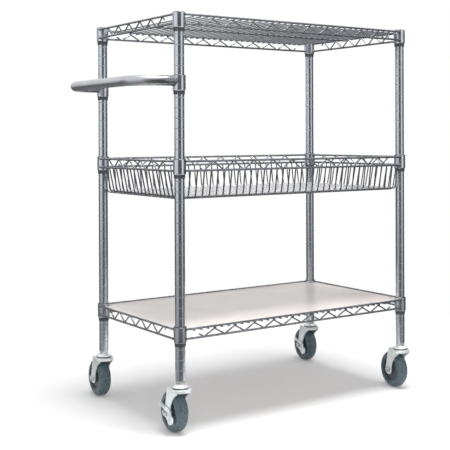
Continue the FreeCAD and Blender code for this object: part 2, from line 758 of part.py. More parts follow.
def make_fork():
    """The stamped fork: a crown under the swivel race and two legs swept back to the axle."""
    body = new_body("fork")
    sketch = sketch_on(body, "XY_Plane", "crown_bottom")
    draw_circle(sketch, "0", "0", "crown_radius")
    add_pad(body, sketch, "crown_thickness")
    sketch = sketch_on(body, "XY_Plane", "crown_bottom")
    draw_outline(sketch, [("-fork_half_width", "-leg_top_front"), ("fork_half_width", "-leg_top_front"),
                          ("fork_half_width", "leg_top_back"), ("-fork_half_width", "leg_top_back")])
    crown = add_pad(body, sketch, "crown_thickness")
    top = value("crown_top")
    touch = value("crown_edge") / 100
    add_fillet(body, crown, lambda edge: abs(edge.BoundBox.ZMin - top) < touch
               and abs(edge.BoundBox.ZMax - top) < touch, "crown_edge")

    sketch = sketch_on(body, "YZ_Plane")
    draw_outline(sketch, [
        ("-leg_top_front", "crown_bottom"), ("-leg_top_front", "wheel_radius"),
        ("caster_trail + leg_end_diameter / 2", "wheel_radius"), ("leg_top_back", "crown_bottom + crown_edge")])
    add_pad(body, sketch, "fork_outer_width", both_ways=True)
    sketch = sketch_on(body, "YZ_Plane")
    draw_circle(sketch, "caster_trail", "wheel_radius", "leg_end_diameter / 2")
    add_pad(body, sketch, "fork_outer_width", both_ways=True)
    sketch = sketch_on(body, "XZ_Plane")
    draw_outline(sketch, [("-fork_inner_half", "0"), ("fork_inner_half", "0"),
                          ("fork_inner_half", "crown_bottom"), ("-fork_inner_half", "crown_bottom")])
    add_pocket(body, sketch, "2 * wheel_diameter", both_ways=True)
    sketch = sketch_on(body, "YZ_Plane")
    draw_circle(sketch, "leg_front_centre", "wheel_radius", "leg_front_radius")
    add_pocket(body, sketch, "2 * fork_outer_width", both_ways=True)

    sketch = sketch_on(body, "YZ_Plane")
    draw_circle(sketch, "caster_trail", "wheel_radius", "axle_diameter / 2")
    add_pocket(body, sketch, "2 * fork_outer_width", both_ways=True)
    sketch = sketch_on(body, "XY_Plane", "crown_bottom")
    draw_circle(sketch, "0", "0", "kingpin_diameter / 2 + running_clearance")
    add_pocket(body, sketch, "2 * crown_thickness", both_ways=True)
    sketch = sketch_on(body, "XZ_Plane")
    draw_circle(sketch, "ball_circle_diameter / 2", "ball_level", "ball_path_radius")
    add_groove(body, sketch, "Z_Axis")
    return body


def make_swivel():
    """The stem with its hex and kingpin, and the race cap it carries."""
    kingpin_bottom = "crown_bottom - swivel_end_gap"
    stem = turned("stem", "XZ_Plane", "Z_Axis", [
        ("0", f"{kingpin_bottom} - kingpin_head_height"),
        ("kingpin_head_diameter / 2", f"{kingpin_bottom} - kingpin_head_height"),
        ("kingpin_head_diameter / 2", kingpin_bottom), ("kingpin_diameter / 2", kingpin_bottom),
        ("kingpin_diameter / 2", "caster_height"), ("stem_diameter / 2", "caster_height"),
        ("stem_diameter / 2", "caster_height + stem_length"), ("0", "caster_height + stem_length")])
    sketch = sketch_on(stem, "XY_Plane", "race_top")
    draw_outline(sketch, hexagon("hex_width"))
    add_pad(stem, sketch, "hex_height")
    race = turned("race", "XZ_Plane", "Z_Axis", [
        ("kingpin_diameter / 2", "race_bottom"), ("race_diameter / 2", "race_bottom"),
        ("race_diameter / 2", "race_bottom + race_rim_height"), ("race_top_diameter / 2", "race_top"),
        ("kingpin_diameter / 2", "race_top")])
    sketch = sketch_on(race, "XZ_Plane")
    draw_circle(sketch, "ball_circle_diameter / 2", "ball_level", "ball_path_radius")
    add_groove(race, sketch, "Z_Axis")
    return stem, race


def make_balls():
    """Bearing balls between each race cap and its fork."""
    count = int(value("ball_count"))
    spheres = []
    for x, y, yaw in CORNERS.values():
        for index in range(count):
            angle = 2 * math.pi * index / count
            reach = value("ball_circle_diameter / 2")
            centre = Vector(value(f"{x} - centre_x") + reach * math.cos(angle),
                            value(f"{y} - centre_y") + reach * math.sin(angle), value("ball_level"))
            spheres.append(Part.makeSphere(value("ball_diameter / 2"), centre))
    shaped("swivel_balls", spheres)


def make_wheel():
    """Tyre, wheel body and bush, turned about the axle."""
    tyre = turned("tyre", "XY_Plane", "X_Axis", [
        ("-wheel_width / 2", "core_radius"), ("wheel_width / 2", "core_radius"),
        ("wheel_width / 2", "wheel_radius"), ("-wheel_width / 2", "wheel_radius")])
    outer = value("wheel_radius")
    touch = value("tyre_shoulder") / 100
    add_fillet(tyre, tyre.Tip, lambda edge: abs(edge.BoundBox.YMax - outer) < touch
               and edge.BoundBox.XLength < touch, "tyre_shoulder")
    web = "(wheel_width / 2 - core_web_inset)"
    rim = "(wheel_width / 2 - core_rim_inset)"
    rim_inside = "core_radius - core_rim_thickness"
    core = turned("core", "XY_Plane", "X_Axis", [
        ("-hub_half", "bush_radius"), ("hub_half", "bush_radius"),
        ("hub_half", "hub_diameter / 2"), (web, "hub_diameter / 2"), (web, rim_inside),
        (rim, rim_inside), (rim, "core_radius"), (f"-{rim}", "core_radius"), (f"-{rim}", rim_inside),
        (f"-{web}", rim_inside), (f"-{web}", "hub_diameter / 2"), ("-hub_half", "hub_diameter / 2")])
    bush = turned("bush", "XY_Plane", "X_Axis", [
        ("-bush_half", "axle_diameter / 2 + running_clearance"),
        ("bush_half", "axle_diameter / 2 + running_clearance"),
        ("bush_half", "bush_radius"), ("-bush_half", "bush_radius")])
    return tyre, core, bush


def make_axle(kind):
    """Axle bolt with its head on the right and a flanged nut on the left of the fork."""
    nut_face = f"{kind}_nut_face"
    nut_end = f"{nut_face} + nut_flange_height + nut_height"
    bolt = turned(f"{kind}_bolt", "XY_Plane", "X_Axis", [
        (f"-({nut_end} + axle_end)", "0"), (f"-({nut_end} + axle_end)", "axle_diameter / 2"),
        ("fork_half_width", "axle_diameter / 2"), ("fork_half_width", "axle_head_diameter / 2"),
        ("axle_head_reach - axle_head_height / 3", "axle_head_diameter / 2"),
        ("axle_head_reach", "axle_head_diameter / 3"), ("axle_head_reach", "0")])
    nut = new_body(f"{kind}_nut")
    sketch = sketch_on(nut, "YZ_Plane", f"-({nut_face} + nut_flange_height)")
    draw_circle(sketch, "0", "0", "nut_flange_diameter / 2")
    draw_circle(sketch, "0", "0", "axle_diameter / 2")
    add_pad(nut, sketch, "nut_flange_height")
    sketch = sketch_on(nut, "YZ_Plane", f"-({nut_end})")
    draw_outline(sketch, hexagon("nut_width"))
    draw_circle(sketch, "0", "0", "axle_diameter / 2")
    add_pad(nut, sketch, "nut_height")
    return bolt, nut


def make_brake():
    """A lever turning on the axle, with a foot flange and a dished pedal, and its cam washer."""
    lever = new_body("lever")
    slope_y = "lever_climb / lever_length"
    slope_z = "lever_run / lever_length"

    def bar(sketch, height):
        """Draw the bar of the lever, its upper edge sloping up to the back."""
        draw_outline(sketch, [
            ("-lever_front", "lever_front_rise"), ("lever_back", "lever_back_rise"),
            (f"lever_back + {height} * {slope_y}", f"lever_back_rise - {height} * {slope_z}"),
            (f"{height} * {slope_y} - lever_front", f"lever_front_rise - {height} * {slope_z}")])

    sketch = sketch_on(lever, "YZ_Plane", "-lever_outer_face")
    draw_circle(sketch, "0", "0", "lever_hub_diameter / 2")
    add_pad(lever, sketch, "lever_sheet")
    sketch = sketch_on(lever, "YZ_Plane", "-lever_outer_face")
    bar(sketch, "lever_bar_height")
    add_pad(lever, sketch, "lever_sheet")
    sketch = sketch_on(lever, "YZ_Plane", "-(lever_face + lever_flange_width)")
    bar(sketch, "lever_sheet")
    add_pad(lever, sketch, "lever_flange_width")
    sketch = sketch_on(lever, "YZ_Plane", "-lever_outer_face")
    draw_outline(sketch, [
        ("pedal_side_y", "-pedal_side_z"), ("-pedal_side_y", "pedal_side_z"),
        ("-pedal_forward - pedal_side_y", "pedal_side_z - pedal_down"),
        ("pedal_side_y - pedal_forward", "-pedal_down - pedal_side_z")])
    add_pad(lever, sketch, "lever_sheet")
    sketch = sketch_on(lever, "YZ_Plane", "-lever_outer_face")
    draw_circle(sketch, "-pedal_forward", "-pedal_down", "pedal_width / 2")
    add_pad(lever, sketch, "lever_sheet")
    sketch = sketch_on(lever, "YZ_Plane", "-(lever_outer_face + pedal_lip)")
    draw_circle(sketch, "-pedal_forward", "-pedal_down", "pedal_width / 2")
    draw_circle(sketch, "-pedal_forward", "-pedal_down", "pedal_width / 2 - lever_sheet")
    add_pad(lever, sketch, "pedal_lip")
    sketch = sketch_on(lever, "YZ_Plane")
    draw_circle(sketch, "0", "0", "axle_diameter / 2 + running_clearance")
    add_pocket(lever, sketch, "4 * fork_outer_width", both_ways=True)

    cam = new_body("cam")
    sketch = sketch_on(cam, "YZ_Plane", "-(fork_half_width + cam_thickness)")
    draw_circle(sketch, "0", "0", "cam_diameter / 2")
    draw_circle(sketch, "0", "0", "axle_diameter / 2")
    add_pad(cam, sketch, "cam_thickness")
    return lever, cam


def make_casters():
    """Set a caster under every post, two of them with a side brake."""
    fork = make_fork()
    stem, race = make_swivel()
    tyre, core, bush = make_wheel()
    axles = {kind: make_axle(kind) for kind in ("plain", "braked")}
    lever, cam = make_brake()
    races = []
    for corner, (x, y, yaw) in CORNERS.items():
        keep(linked(stem, x, y, "0", yaw), f"caster_stem_{corner}")
        races.append(linked(race, x, y, "0", yaw))
        keep(linked(fork, x, y, "0", yaw), f"caster_fork_{corner}")
        axle_place = (f"{x} - caster_trail * sin({yaw})", f"{y} + caster_trail * cos({yaw})",
                      "wheel_radius", yaw)
        keep(linked(tyre, *axle_place), f"tyre_{corner}")
        keep(linked(core, *axle_place), f"wheel_body_{corner}")
        keep(linked(bush, *axle_place), f"wheel_bush_{corner}")
        braked = corner in BRAKED_CORNERS
        pieces = axles["braked" if braked else "plain"]
        group(f"axle_{corner}", [linked(piece, *axle_place) for piece in pieces])
        if braked:
            keep(linked(lever, *axle_place), f"brake_lever_{corner}")
            keep(linked(cam, *axle_place), f"brake_cam_{corner}")
    group("swivel_races", races)
    make_balls()


def write_parts():
    """Check every object and write each sub-part to its own file."""
    document.recompute()
    for thing in document.Objects:
        if "Invalid" in thing.State or "Error" in thing.State:
            raise RuntimeError(f"{thing.Name} ({thing.Label}) failed to build")
    os.makedirs("parts", exist_ok=True)
    for thing in sub_parts:
        shape = Part.getShape(thing)
        if shape.isNull() or not shape.isValid() or not shape.Solids:
            raise RuntimeError(f"{thing.Label} has no sound shape")
        shape.exportStep(f"parts/{thing.Label}.step")


make_posts()
make_collars()
for tier_name in TIERS:
    make_rims(tier_name)
    make_zigzags(tier_name)
make_deck("top")
make_deck("bottom")
make_basket()
make_liners()
make_handle()
make_casters()
write_parts()
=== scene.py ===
"""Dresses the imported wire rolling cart: plated tube and wire, zinc casters, liner sheets, studio."""

import json
import logging
import math
from dataclasses import dataclass
from enum import Enum
from typing import Any, Iterable, Optional, Sequence

import bmesh
import bpy
from mathutils import Matrix, Vector

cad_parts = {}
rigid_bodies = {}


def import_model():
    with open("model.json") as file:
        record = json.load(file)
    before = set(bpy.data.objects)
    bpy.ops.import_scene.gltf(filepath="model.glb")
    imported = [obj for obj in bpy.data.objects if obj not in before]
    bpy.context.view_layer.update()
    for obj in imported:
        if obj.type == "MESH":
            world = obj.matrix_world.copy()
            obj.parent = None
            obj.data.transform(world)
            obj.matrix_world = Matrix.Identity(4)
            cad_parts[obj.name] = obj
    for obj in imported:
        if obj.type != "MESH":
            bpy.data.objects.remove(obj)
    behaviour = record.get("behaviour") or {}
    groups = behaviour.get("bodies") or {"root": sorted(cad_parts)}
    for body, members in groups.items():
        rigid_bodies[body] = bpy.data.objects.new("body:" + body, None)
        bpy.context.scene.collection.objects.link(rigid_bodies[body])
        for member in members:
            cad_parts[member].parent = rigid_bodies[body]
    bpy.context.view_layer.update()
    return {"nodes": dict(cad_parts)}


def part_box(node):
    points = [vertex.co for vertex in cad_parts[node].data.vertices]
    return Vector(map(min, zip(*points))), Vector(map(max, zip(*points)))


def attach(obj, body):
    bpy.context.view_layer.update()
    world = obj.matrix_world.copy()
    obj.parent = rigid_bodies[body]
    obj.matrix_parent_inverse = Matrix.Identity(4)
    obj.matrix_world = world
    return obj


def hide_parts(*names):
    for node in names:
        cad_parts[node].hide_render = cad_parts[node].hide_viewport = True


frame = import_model()

LOG = logging.getLogger("cart")
Tree = bpy.types.NodeTree
Socket = bpy.types.NodeSocket
Material = bpy.types.Material

MM = 0.001
CORNERS = ("front_left", "front_right", "back_left", "back_right")
BRAKED = ("front_left", "back_right")
TIERS = ("top", "basket", "bottom")
DECKS = ("top", "bottom")
GROOVE_PITCH = 25.4 * MM
STREAK_STRETCH = 0.03
WHITE = 1.0
# Share of brightness where no painted shade falls.
UNSHADED = 1.0

# The sRGB curve has a straight foot below its knee and a power law above it.
SRGB_KNEE = 0.04045
SRGB_FOOT = 12.92
SRGB_LIFT = 0.055
SRGB_POWER = 2.4


def linear(hex_code: str) -> tuple[float, float, float, float]:
    """Turn an sRGB hex colour into linear values.

    Args:
        hex_code: Colour as "#rrggbb".

    Returns:
        Linear red, green, blue and an alpha of one.
    """
    parts = [int(hex_code[start:start + 2], 16) / 255 for start in (1, 3, 5)]
    tones = [part / SRGB_FOOT if part <= SRGB_KNEE else ((part + SRGB_LIFT) / (1 + SRGB_LIFT)) ** SRGB_POWER
             for part in parts]
    return (tones[0], tones[1], tones[2], 1.0)


def per_metre(width_mm: float) -> float:
    """Turn the width of one grain of a pattern, in millimetres, into grains per metre."""
    return 1.0 / (width_mm * MM)


def add_node(tree: Tree, kind: str, settings: Optional[dict[str, Any]] = None,
             inputs: Optional[dict[Any, Any]] = None,
             stops: Iterable[tuple[float, str]] = ()) -> bpy.types.Node:
    """Add one node, set its properties, fill or link its inputs and set its colour stops.

    Args:
        tree: Node tree that gets the node.
        kind: Blender's name of the node type.
        settings: Node properties by name.
        inputs: Values or output sockets by input name or number.
        stops: Places and sRGB hex colours of its colour ramp, in rising order.

    Returns:
        The new node.
    """
    node = tree.nodes.new(kind)
    for name, setting in (settings or {}).items():
        setattr(node, name, setting)
    for name, content in (inputs or {}).items():
        if isinstance(content, Socket):
            tree.links.new(content, node.inputs[name])
        else:
            node.inputs[name].default_value = content
    for number, (position, shade) in enumerate(stops):
        ramp = node.color_ramp.elements
        stop = ramp[number] if number < len(ramp) else ramp.new(position)
        stop.position = position
        stop.color = linear(shade)
    return node


def bare_material(name: str) -> tuple[Material, Tree, Socket]:
    """Make a material that has no shader yet.

    Args:
        name: Name of the material.

    Returns:
        The material, its node tree and the object coordinates.
    """
    material = bpy.data.materials.new(name)
    material.use_nodes = True
    tree = material.node_tree
    tree.nodes.clear()
    return material, tree, add_node(tree, "ShaderNodeTexCoord").outputs["Object"]


def put_in_scene(name: str, data: bpy.types.ID) -> bpy.types.Object:
    """Make an object of a mesh, lamp or camera and link it to the scene.

    Args:
        name: Name of the object.
        data: What the object shows.

    Returns:
        The new object, at the origin.
    """
    thing = bpy.data.objects.new(name, data)
    bpy.context.scene.collection.objects.link(thing)
    return thing


def corners(node: str) -> tuple[Vector, Vector]:
    """Give the lowest and the highest corner of a CAD node's box."""
    low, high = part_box(node)
    return Vector(low), Vector(high)


def turned_mesh(name: str, profile: Sequence[tuple[float, float]], turns: Sequence[float],
                axis: tuple[float, float], closed: bool) -> bpy.types.Mesh:
    """Turn a profile round an upright axis.

    Args:
        name: Name of the mesh.
        profile: Radius and height of each corner of the profile.
        turns: Angles at which the profile stands, in radians.
        axis: Where the axis stands.
        closed: True where the profile and the turns come back to their start.

    Returns:
        The new mesh, facing outwards where the profile goes up.
    """
    rows, columns = len(profile), len(turns)
    points = [(axis[0] + reach * math.cos(turn), axis[1] + reach * math.sin(turn), level)
              for turn in turns for reach, level in profile]
    left_out = 0 if closed else 1
    faces = []
    for column in range(columns - left_out):
        here, there = column * rows, (column + 1) % columns * rows
        for row in range(rows - left_out):
            above = (row + 1) % rows
            faces.append((here + row, there + row, there + above, here + above))
    mesh = bpy.data.meshes.new(name)
    mesh.from_pydata(points, [], faces)
    return mesh


class Grain(Enum):
    """Direction that a metal's streaks run in, as shares of the pattern's frequency along X, Y and Z."""
    ALONG_X = (STREAK_STRETCH, 1.0, 1.0)
    ALONG_Y = (1.0, STREAK_STRETCH, 1.0)
    ALONG_Z = (1.0, 1.0, STREAK_STRETCH)
    NONE = (1.0, 1.0, 1.0)

    def scale(self, width_mm: float) -> tuple[float, ...]:
        """Give frequencies per metre, slow along the streaks and fine across them."""
        return tuple(per_metre(width_mm) * share for share in self.value)


@dataclass(frozen=True)
class Finish:
    """A finish with a base colour, a gloss and a relief; each kind draws its own fresh pattern."""
    name: str
    colour: str
    roughness: float = 0.3
    metallic: float = 0.0
    relief: float = 0.05
    relief_depth: float = 0.3 * MM
    gloss_spread: tuple[float, float] = (-0.08, 0.12)

    def pattern(self, tree: Tree, place: Socket) -> tuple[Socket, Socket, Socket]:
        """Draw the fresh colour, roughness and relief; each kind of finish has its own."""
        raise NotImplementedError

    def even(self) -> dict[str, float]:
        """Give the shader values that are the same all over."""
        return {"Metallic": self.metallic}

    def gloss_range(self) -> dict[str, float]:
        """Give the lowest and the highest roughness of the pattern."""
        low, high = self.gloss_spread
        return {"To Min": self.roughness + low, "To Max": self.roughness + high}

    def painted_shade(self, tree: Tree, place: Socket) -> Optional[Socket]:
        """Give the share of brightness that painted shade leaves; a plain finish has none."""
        return None

    def wear(self, tree: Tree, place: Socket, gloss: Socket) -> Socket:
        """Give the roughness after wear; a plain finish keeps its own."""
        return gloss

    def build(self) -> Material:
        """Draw the pattern, darken it with painted shade, wear it and link it to the shader.

        Returns:
            The finished material.
        """
        material, tree, place = bare_material(self.name)
        colour, gloss, height = self.pattern(tree, place)
        # Painted shade darkens the colour here.
        share = self.painted_shade(tree, place)
        if share is not None:
            colour = add_node(tree, "ShaderNodeVectorMath", {"operation": "SCALE"}, {
                0: colour, "Scale": share}).outputs["Vector"]
        worn = self.wear(tree, place, gloss)
        bump = add_node(tree, "ShaderNodeBump", inputs={
            "Height": height, "Strength": self.relief, "Distance": self.relief_depth})
        shader = add_node(tree, "ShaderNodeBsdfPrincipled", inputs={
            "Base Color": colour, "Roughness": worn, "Normal": bump.outputs["Normal"], **self.even()})
        add_node(tree, "ShaderNodeOutputMaterial", inputs={"Surface": shader.outputs["BSDF"]})
        material.diffuse_color = linear(self.colour)
        return material


@dataclass(frozen=True, kw_only=True)
class PlatedSteel(Finish):
    """Nickel-chrome plate over drawn tube or wire: long faint streaks, duller handled patches.

    Drawing lines and pits are finer than the render shows, so both are drawn as coarse as they need to show.
    """
    dark: str
    light: str
    roughness: float = 0.22
    metallic: float = 1.0
    relief_depth: float = 0.2 * MM
    grain: Grain = Grain.ALONG_Z
    streak_mm: float = 2.2
    streak_layers: float = 3.0
    streak_sharpness: float = 0.6
    streak_stops: tuple[float, float, float] = (0.3, 0.5, 0.72)
    patch_mm: float = 38.0
    patch_span: tuple[float, float] = (0.3, 0.7)
    patch_shades: tuple[float, float] = (0.93, 1.04)
    gloss_span: tuple[float, float] = (0.3, 0.75)
    gloss_spread: tuple[float, float] = (-0.07, 0.12)
    pit_mm: float = 0.9

    def pattern(self, tree: Tree, place: Socket) -> tuple[Socket, Socket, Socket]:
        """Draw streaks along the grain, patches of shade and gloss, and pits.

        Args:
            tree: Node tree of the material.
            place: Object coordinates.

        Returns:
            The colour, the roughness and the relief.
        """
        streak_place = add_node(tree, "ShaderNodeMapping", inputs={
            "Vector": place, "Scale": self.grain.scale(self.streak_mm)})
        streaks = add_node(tree, "ShaderNodeTexNoise", inputs={
            "Vector": streak_place.outputs["Vector"], "Scale": 1.0,
            "Detail": self.streak_layers, "Roughness": self.streak_sharpness})
        tones = add_node(tree, "ShaderNodeValToRGB", inputs={"Fac": streaks.outputs["Fac"]},
                         stops=zip(self.streak_stops, (self.dark, self.colour, self.light)))
        patches = add_node(tree, "ShaderNodeTexNoise", inputs={
            "Vector": place, "Scale": per_metre(self.patch_mm)}).outputs["Fac"]
        shade = add_node(tree, "ShaderNodeMapRange", inputs={
            "Value": patches, "From Min": self.patch_span[0], "From Max": self.patch_span[1],
            "To Min": self.patch_shades[0], "To Max": self.patch_shades[1]})
        colour = add_node(tree, "ShaderNodeVectorMath", {"operation": "SCALE"}, {
            0: tones.outputs["Color"], "Scale": shade.outputs["Result"]})
        gloss = add_node(tree, "ShaderNodeMapRange", inputs={
            "Value": patches, "From Min": self.gloss_span[0], "From Max": self.gloss_span[1],
            **self.gloss_range()})
        pits = add_node(tree, "ShaderNodeTexNoise", inputs={
            "Vector": place, "Scale": per_metre(self.pit_mm)})
        return colour.outputs["Vector"], gloss.outputs["Result"], pits.outputs["Fac"]


@dataclass(frozen=True, kw_only=True)
class GroovedPlate(PlatedSteel):
    """Plate on a grooved post, with painted shade and a rougher finish in the ring grooves."""
    first_groove: float
    groove_reach: float = 0.9 * MM
    # Painted shade in the grooves, which dims their glints.
    groove_painted_shade: float = 0.74
    groove_roughness: float = 0.7

    def off_groove(self, tree: Tree, place: Socket, inside: float, outside: Any) -> Socket:
        """Blend from one value in the grooves to another between them.

        Args:
            tree: Node tree of the material.
            place: Object coordinates.
            inside: Value in a groove.
            outside: Value or socket for the plain tube.

        Returns:
            The blended value.
        """
        height = add_node(tree, "ShaderNodeSeparateXYZ", inputs={"Vector": place}).outputs["Z"]
        climb = add_node(tree, "ShaderNodeMath", {"operation": "SUBTRACT"}, {0: height, 1: self.first_groove})
        apart = add_node(tree, "ShaderNodeMath", {"operation": "PINGPONG"}, {
            0: climb.outputs["Value"], 1: GROOVE_PITCH / 2})
        return add_node(tree, "ShaderNodeMapRange", inputs={
            "Value": apart.outputs["Value"], "From Min": self.groove_reach / 2, "From Max": self.groove_reach,
            "To Min": inside, "To Max": outside}).outputs["Result"]

    def painted_shade(self, tree: Tree, place: Socket) -> Socket:
        """Darken the ring grooves with painted shade."""
        return self.off_groove(tree, place, self.groove_painted_shade, UNSHADED)

    def wear(self, tree: Tree, place: Socket, gloss: Socket) -> Socket:
        """Roughen the ring grooves."""
        return self.off_groove(tree, place, self.groove_roughness, gloss)


@dataclass(frozen=True, kw_only=True)
class TopShadedPlate(PlatedSteel):
    """Plate on a collar, with painted shade on the faces of its rounded top edge that look up, which hides
    their highlight.
    """
    unshaded_slope: float = 0.15
    shaded_slope: float = 0.5
    # Painted shade on the upward faces, in place of the softbox's highlight.
    top_painted_shade: float = 0.15

    def painted_shade(self, tree: Tree, place: Socket) -> Socket:
        """Darken the faces that look up with painted shade.

        Args:
            tree: Node tree of the material.
            place: Object coordinates; not used.

        Returns:
            The share of brightness that the painted shade leaves.
        """
        facing = add_node(tree, "ShaderNodeNewGeometry").outputs["Normal"]
        slope = add_node(tree, "ShaderNodeSeparateXYZ", inputs={"Vector": facing}).outputs["Z"]
        return add_node(tree, "ShaderNodeMapRange", inputs={
            "Value": slope, "From Min": self.unshaded_slope, "From Max": self.shaded_slope,
            "To Min": UNSHADED, "To Max": self.top_painted_shade}).outputs["Result"]


@dataclass(frozen=True, kw_only=True)
class GripPlate(PlatedSteel):
    """Plate on the push handle, dulled where hands hold its cross run, with painted shade on its arms."""
    tube_end: float
    run_reach: float = 30 * MM
    arm_reach: float = 90 * MM
    grip_roughness: float = 0.36
    # Painted shade that dims the arms' reflections.
    arm_painted_shade: float = 0.4

    def past_grip(self, tree: Tree, place: Socket, held: float, free: Any) -> Socket:
        """Blend from one value on the cross run to another on the arms.

        Args:
            tree: Node tree of the material.
            place: Object coordinates.
            held: Value on the cross run.
            free: Value or socket for the arms.

        Returns:
            The blended value.
        """
        along = add_node(tree, "ShaderNodeSeparateXYZ", inputs={"Vector": place}).outputs["X"]
        return add_node(tree, "ShaderNodeMapRange", {"interpolation_type": "SMOOTHSTEP"}, {
            "Value": along, "From Min": self.tube_end + self.run_reach,
            "From Max": self.tube_end + self.arm_reach, "To Min": held, "To Max": free}).outputs["Result"]

    def painted_shade(self, tree: Tree, place: Socket) -> Socket:
        """Darken the arms with painted shade."""
        return self.past_grip(tree, place, UNSHADED, self.arm_painted_shade)

    def wear(self, tree: Tree, place: Socket, gloss: Socket) -> Socket:
        """Roughen the cross run."""
        return self.past_grip(tree, place, self.grip_roughness, gloss)


@dataclass(frozen=True, kw_only=True)
class ZincPlate(Finish):
    """Bright zinc on stamped steel: pale, faintly spangled, with dull rubbed spots."""
    rubbed: str
    metallic: float = 0.5
    relief: float = 0.08
    relief_depth: float = 0.4 * MM
    gloss_spread: tuple[float, float] = (-0.06, 0.1)
    spangle_mm: float = 4.0
    rub_mm: float = 11.0
    rub_layers: float = 4.0
    rub_stops: tuple[float, float] = (0.28, 0.46)

    def pattern(self, tree: Tree, place: Socket) -> tuple[Socket, Socket, Socket]:
        """Draw rubbed spots and a spangled gloss.

        Args:
            tree: Node tree of the material.
            place: Object coordinates.

        Returns:
            The colour, the roughness and the relief.
        """
        rubs = add_node(tree, "ShaderNodeTexNoise", inputs={
            "Vector": place, "Scale": per_metre(self.rub_mm), "Detail": self.rub_layers}).outputs["Fac"]
        tones = add_node(tree, "ShaderNodeValToRGB", inputs={"Fac": rubs},
                         stops=zip(self.rub_stops, (self.rubbed, self.colour)))
        spangle = add_node(tree, "ShaderNodeTexVoronoi", inputs={
            "Vector": place, "Scale": per_metre(self.spangle_mm)})
        gloss = add_node(tree, "ShaderNodeMapRange", inputs={
            "Value": spangle.outputs["Distance"], **self.gloss_range()})
        return tones.outputs["Color"], gloss.outputs["Result"], rubs


@dataclass(frozen=True, kw_only=True)
class GapShadedZinc(ZincPlate):
    """Zinc on a swivel race, with a painted shadow line round its lower lip, where it meets the fork."""
    lip: float
    line_height: float = 1.3 * MM
    line_fade: float = 0.4 * MM
    # Painted shadow in the gap between race and fork.
    gap_painted_shadow: float = 0.12

    def painted_shade(self, tree: Tree, place: Socket) -> Socket:
        """Darken the lower lip with a painted shadow.

        Args:
            tree: Node tree of the material.
            place: Object coordinates.

        Returns:
            The share of brightness that the painted shadow leaves.
        """
        height = add_node(tree, "ShaderNodeSeparateXYZ", inputs={"Vector": place}).outputs["Z"]
        top = self.lip + self.line_height
        return add_node(tree, "ShaderNodeMapRange", inputs={
            "Value": height, "From Min": top, "From Max": top + self.line_fade,
            "To Min": self.gap_painted_shadow, "To Max": UNSHADED}).outputs["Result"]


@dataclass(frozen=True, kw_only=True)
class MouldedPolymer(Finish):
    """Moulded plastic or cast tread: fine mould grain, scuffs that pale it a little.

    Mould grain is finer than the render shows, so it is drawn as coarse as it needs to show.
    """
    scuffed: str
    relief: float = 0.12
    gloss_span: tuple[float, float] = (0.35, 0.75)
    gloss_spread: tuple[float, float] = (-0.08, 0.2)
    grain_mm: float = 0.8
    scuff_mm: float = 9.0
    scuff_layers: float = 5.0
    scuff_sharpness: float = 0.65
    scuff_stops: tuple[float, float] = (0.5, 0.78)

    def pattern(self, tree: Tree, place: Socket) -> tuple[Socket, Socket, Socket]:
        """Draw scuffs, which are duller too, and mould grain.

        Args:
            tree: Node tree of the material.
            place: Object coordinates.

        Returns:
            The colour, the roughness and the relief.
        """
        scuffs = add_node(tree, "ShaderNodeTexNoise", inputs={
            "Vector": place, "Scale": per_metre(self.scuff_mm),
            "Detail": self.scuff_layers, "Roughness": self.scuff_sharpness}).outputs["Fac"]
        tones = add_node(tree, "ShaderNodeValToRGB", inputs={"Fac": scuffs},
                         stops=zip(self.scuff_stops, (self.colour, self.scuffed)))
        gloss = add_node(tree, "ShaderNodeMapRange", inputs={
            "Value": scuffs, "From Min": self.gloss_span[0], "From Max": self.gloss_span[1],
            **self.gloss_range()})
        grain = add_node(tree, "ShaderNodeTexNoise", inputs={
            "Vector": place, "Scale": per_metre(self.grain_mm)})
        return tones.outputs["Color"], gloss.outputs["Result"], grain.outputs["Fac"]


@dataclass(frozen=True, kw_only=True)
class MilkySheet(Finish):
    """Calendered polypropylene liner: milky, satin, with faint clouding and handling haze."""
    cloud: str
    relief: float = 0.04
    relief_depth: float = 0.4 * MM
    ior: float = 1.49
    cover: float = 1.0
    cloud_mm: float = 120.0
    cloud_layers: float = 3.0
    cloud_stops: tuple[float, float] = (0.35, 0.65)
    haze_mm: float = 2.5
    haze_layers: float = 3.0

    def even(self) -> dict[str, float]:
        """Give the refraction and the cover as well."""
        return {**super().even(), "IOR": self.ior, "Alpha": self.cover}

    def pattern(self, tree: Tree, place: Socket) -> tuple[Socket, Socket, Socket]:
        """Draw the clouds and the haze.

        Args:
            tree: Node tree of the material.
            place: Object coordinates.

        Returns:
            The colour, the roughness and the relief.
        """
        clouds = add_node(tree, "ShaderNodeTexNoise", inputs={
            "Vector": place, "Scale": per_metre(self.cloud_mm), "Detail": self.cloud_layers})
        tones = add_node(tree, "ShaderNodeValToRGB", inputs={"Fac": clouds.outputs["Fac"]},
                         stops=zip(self.cloud_stops, (self.cloud, self.colour)))
        haze = add_node(tree, "ShaderNodeTexNoise", inputs={
            "Vector": place, "Scale": per_metre(self.haze_mm), "Detail": self.haze_layers}).outputs["Fac"]
        gloss = add_node(tree, "ShaderNodeMapRange", inputs={"Value": haze, **self.gloss_range()})
        return tones.outputs["Color"], gloss.outputs["Result"], haze


